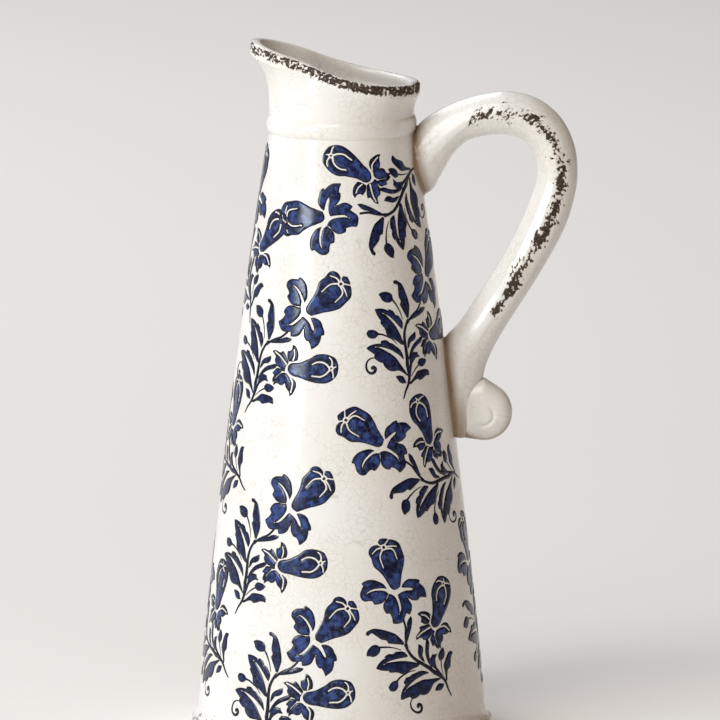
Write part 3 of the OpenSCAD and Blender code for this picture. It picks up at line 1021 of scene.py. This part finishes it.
def triangulate(points, edges, keep):
    """Triangles over the points, with the edges among their sides. keep says which of them stay,
    from their centres."""
    made, _, faces, _, _, _ = delaunay_2d_cdt([Vector(p) for p in points], edges, [], 0, 1e-4)
    spots = np.array([tuple(p) for p in made])
    faces = np.array([f for f in faces if len(f) == 3])
    faces = faces[keep(spots[faces].mean(1))]
    a, b, c = spots[faces[:, 0]], spots[faces[:, 1]], spots[faces[:, 2]]
    turned = (b[:, 0] - a[:, 0]) * (c[:, 1] - a[:, 1]) - (b[:, 1] - a[:, 1]) * (c[:, 0] - a[:, 0]) < 0
    faces[turned] = faces[turned][:, ::-1]
    return spots, faces


def border(faces):
    """The directed edges that belong to one triangle only."""
    edges = dict.fromkeys(edge for a, b, c in faces for edge in ((a, b), (b, c), (c, a)))
    return [edge for edge in edges if edge[::-1] not in edges]


def motif_loops(drawing):
    """The outlines of what a motif paints, and of what it leaves bare inside them."""
    fills = [spread(rounded(outline, OUTLINE_STEP)) for outline in drawing["fills"]]
    fills += [brush_line(*stalk) for stalk in drawing.get("stalks", [])]
    slits = [brush_line(*slit) for slit in drawing.get("slits", [])]
    for x, y, r, width in drawing.get("rings", []):
        arc = np.linspace(0, radians(350), 22)
        slits.append(brush_line([(x + r * cos(a), y + r * sin(a)) for a in arc], width, width))
    return fills, slits


def filling(outline, starts, ends, painted):
    """The points to fill a motif with: a row just inside its edge, and an even grid within."""
    nearest = 0.9  # of the row, points that lie nearer to the edge than this share are left out
    middles, ways = (starts + ends) / 2, ends - starts
    normals = np.stack([-ways[:, 1], ways[:, 0]], 1) / np.linalg.norm(ways, axis=1)[:, None]
    inset = middles + normals * RELIEF_SLOPE
    low, high = outline.min(0), outline.max(0)
    rows = np.arange(low[1], high[1], FILL_STEP * sqrt(3) / 2)
    grid = np.array([(x + (i % 2) * FILL_STEP / 2, y) for i, y in enumerate(rows)
                     for x in np.arange(low[0], high[0], FILL_STEP)])
    kept = []
    for points, least in ((inset, RELIEF_SLOPE * nearest), (grid, RELIEF_SLOPE + FILL_STEP / 2)):
        points = points[painted(points)]
        kept.append(points[distances(points, starts, ends) > least])
    return np.concatenate(kept)


def motif_sheet(drawing):
    """The flat mesh of a motif: its points, its triangles, and at each point the distance to the
    edge and the shade."""
    fills, slits = motif_loops(drawing)

    def painted(places):
        covered = np.zeros(len(places), bool)
        for loop in fills:
            covered |= inside(places, loop)
        for loop in slits:
            covered &= ~inside(places, loop)
        return covered

    outline_points, outline_edges = [], []
    for loop in fills + slits:
        numbers = numbers_after(outline_points, len(loop))
        outline_points += list(loop)
        outline_edges += zip(numbers, numbers[1:] + numbers[:1])
    coarse, faces = triangulate(outline_points, outline_edges, painted)
    rim = np.array(border(faces.tolist()))
    starts, ends = coarse[rim[:, 0]], coarse[rim[:, 1]]
    used, numbers = np.unique(rim, return_inverse=True)
    rim_edges = numbers.reshape(rim.shape).tolist()
    inner = filling(coarse, starts, ends, painted)
    spots, faces = triangulate(np.concatenate([coarse[used], inner]), rim_edges, painted)
    shade = np.where(painted(spots + EDGE_SHADE_WAY), 0.0, EDGE_SHADE)
    for stroke, width in drawing.get("shades", []):
        line = np.array(stroke, float)
        off = distances(spots, line[:-1], line[1:])
        shade = np.maximum(shade, np.clip(STROKE_CORE - off / (width / 2) * STROKE_FALL, 0, 1))
    return spots, faces, distances(spots, starts, ends), shade


def place_motif(name, sheet, azimuth, height, heading, material):
    """Wraps a flat motif round the body as a thin closed relief. azimuth is in degrees from the
    front towards the handle, heading is the motif's +Y, counterclockwise from the handle's side."""
    spots, faces, edge, shade = sheet
    turn = radians(heading)
    along = spots[:, 0] * sin(turn) + spots[:, 1] * cos(turn)
    up = -spots[:, 0] * cos(turn) + spots[:, 1] * sin(turn)
    z = height + up / BODY_LEAN
    lowest, highest = FOOT_EDGE_Z + BARE, BODY_TOP - BARE
    out = (z < lowest) | (z > highest)
    faces = faces[~out[faces].all(1)]
    if len(faces) == 0:
        return
    z = np.clip(z, lowest, highest)
    used = np.unique(faces)
    faces = np.searchsorted(used, faces)
    radius = np.array([body_r(v) for v in z[used]])
    azimuths = radians(azimuth) + along[used] / radius
    lift = mix(RIM_LIFT, RELIEF, np.clip(edge[used] / RELIEF_SLOPE, 0, 1) ** ROUNDING)

    def skin(grow):
        r = radius + grow
        return np.stack([r * np.sin(azimuths), -r * np.cos(azimuths), z[used]], 1)

    top, bed = skin(lift), skin(-BED)
    count = len(used)
    rim = border(faces.tolist())
    walls = [(b, a, a + count, b + count) for a, b in rim]
    points = np.concatenate([top, bed])
    all_faces = [*faces, *(faces[:, ::-1] + count), *walls]
    marks = {"edge": np.tile(edge[used], 2), "shade": np.tile(shade[used], 2)}
    add_piece(name, points, all_faces, material, marks=marks, sharp=60)


# ---- painted motifs: the pattern

# One transfer holds a blossom, a bud and a spray. Each row is a transfer: the azimuth and height
# of the blossom's stalk end, and the way the blossom points.
FRONT_TRANSFERS = [
    (-84, 281, 90), (-12, 275, 188), (65.5, 240.5, 53), (-20, 225, 43), (-102, 174, 127), (21, 158, 146),
    (-23, 124, 47), (81, 90, 102), (-92, 81, 122), (25, 83, 106), (-10, 57, 48)]
BACK_TRANSFERS = [
    (141, 277, 96), (-158, 256, 97), (124, 186, 95), (-178, 178, 104), (143, 96, 102), (-178, 76, 97),
    (-137, 111, 102)]

# The members of a transfer: their drawing and paint, the distance and direction of their stalk end
# from the blossom's, and how far they are turned from it.
MEMBERS = [
    ("blossom", BLOSSOM, BLOSSOM_COBALT, 0, 0, 0),
    ("bud", BUD, BLOSSOM_COBALT, 31.5, 207.5, -39),
    ("spray", SPRAY, SPRAY_COBALT, 67, 192.3, 28)]


def painted_pattern():
    sheets = {kind: motif_sheet(drawing) for kind, drawing, *_ in MEMBERS}
    for number, (azimuth, height, heading) in enumerate(FRONT_TRANSFERS + BACK_TRANSFERS, 1):
        for kind, _, paint, distance, direction, turn in MEMBERS:
            way = radians(heading + direction)
            z = height + distance * sin(way) / BODY_LEAN
            mean_r = (body_r(height) + body_r(z)) / 2
            there = azimuth + degrees(distance * cos(way) / mean_r)
            place_motif(f"{kind}_{number}", sheets[kind], there, z, heading + turn, paint)


# ---- stage, light and camera

def pale_floor():
    mesh = bpy.data.meshes.new("studio_floor")
    half = 30.0
    corners = [(-half, -half, 0), (half, -half, 0), (half, half, 0), (-half, half, 0)]
    mesh.from_pydata(corners, [], [(0, 1, 2, 3)])
    material, _, shader = nodes_of("studio_floor")
    feed(shader, Base_Color=(0.84, 0.81, 0.77, 1), Roughness=0.9)
    mesh.materials.append(material)
    floor = add_object("studio_floor", mesh)


def area_light(name, place, aim, width, height, power, colour):
    data = bpy.data.lights.new(name, "AREA")
    data.shape = "RECTANGLE"
    data.size = width
    data.size_y = height
    data.energy = power
    data.color = colour
    light = add_object(name, data)
    light.location = place
    light.rotation_euler = (Vector(aim) - Vector(place)).to_track_quat("-Z", "Y").to_euler()


def studio_world():
    """Even light that is bright and neutral on the spout's side, dim and warm on the handle's."""
    spout_light, handle_light = (0.80, 0.85, 0.95, 1), (0.20, 0.11, 0.045, 1)
    world = bpy.data.worlds.new("studio")
    world.use_nodes = True
    tree = world.node_tree
    node = node_maker(tree)
    way = node("TexCoord").outputs["Generated"]
    towards_handle = node("SeparateXYZ", Vector=way).outputs["X"]
    sky = blend(node, ramp(node, towards_handle, -0.5, 0.65), spout_light, handle_light)
    feed(tree.nodes["Background"], Color=sky, Strength=0.66)
    bpy.context.scene.world = world


def studio_light():
    studio_world()
    middle = (0, 0, 0.2)
    area_light("window_light", (-1.12, -1.0, 0.50), middle, 0.42, 0.42, 8.8, (0.90, 0.97, 1.0))
    area_light("front_light", (-0.9, -2.0, 2.4), middle, 1.6, 1.6, 36, (1.0, 0.94, 0.86))
    area_light("backdrop_light", (-1.3, 2.1, 2.4), (-1.3, 2.1, 0), 2.6, 3.4, 59, (0.96, 0.98, 1.0))


def photo_camera():
    """A long lens, 8.4 degrees above the level, aimed a little off the axis."""
    pitch = radians(8.4)
    distance = 8.0
    aim = Vector((0.0096, 0, 0.1935))
    data = bpy.data.cameras.new("photo_camera")
    data.sensor_width = 36
    data.lens = 769
    data.clip_end = 100
    camera = add_object("photo_camera", data)
    camera.location = aim - distance * Vector((0, cos(pitch), -sin(pitch)))
    camera.rotation_euler = (pi / 2 - pitch, 0, 0)
    bpy.context.scene.camera = camera


bpy.context.scene.view_settings.view_transform = "Standard"
photo_camera()
pale_floor()
studio_light()
body_shell()
floor_plate()
foot()
collar()
neck_and_spout()
lip()
handle_strap()
handle_scroll()
upper_joint()
lower_joint()
painted_pattern()
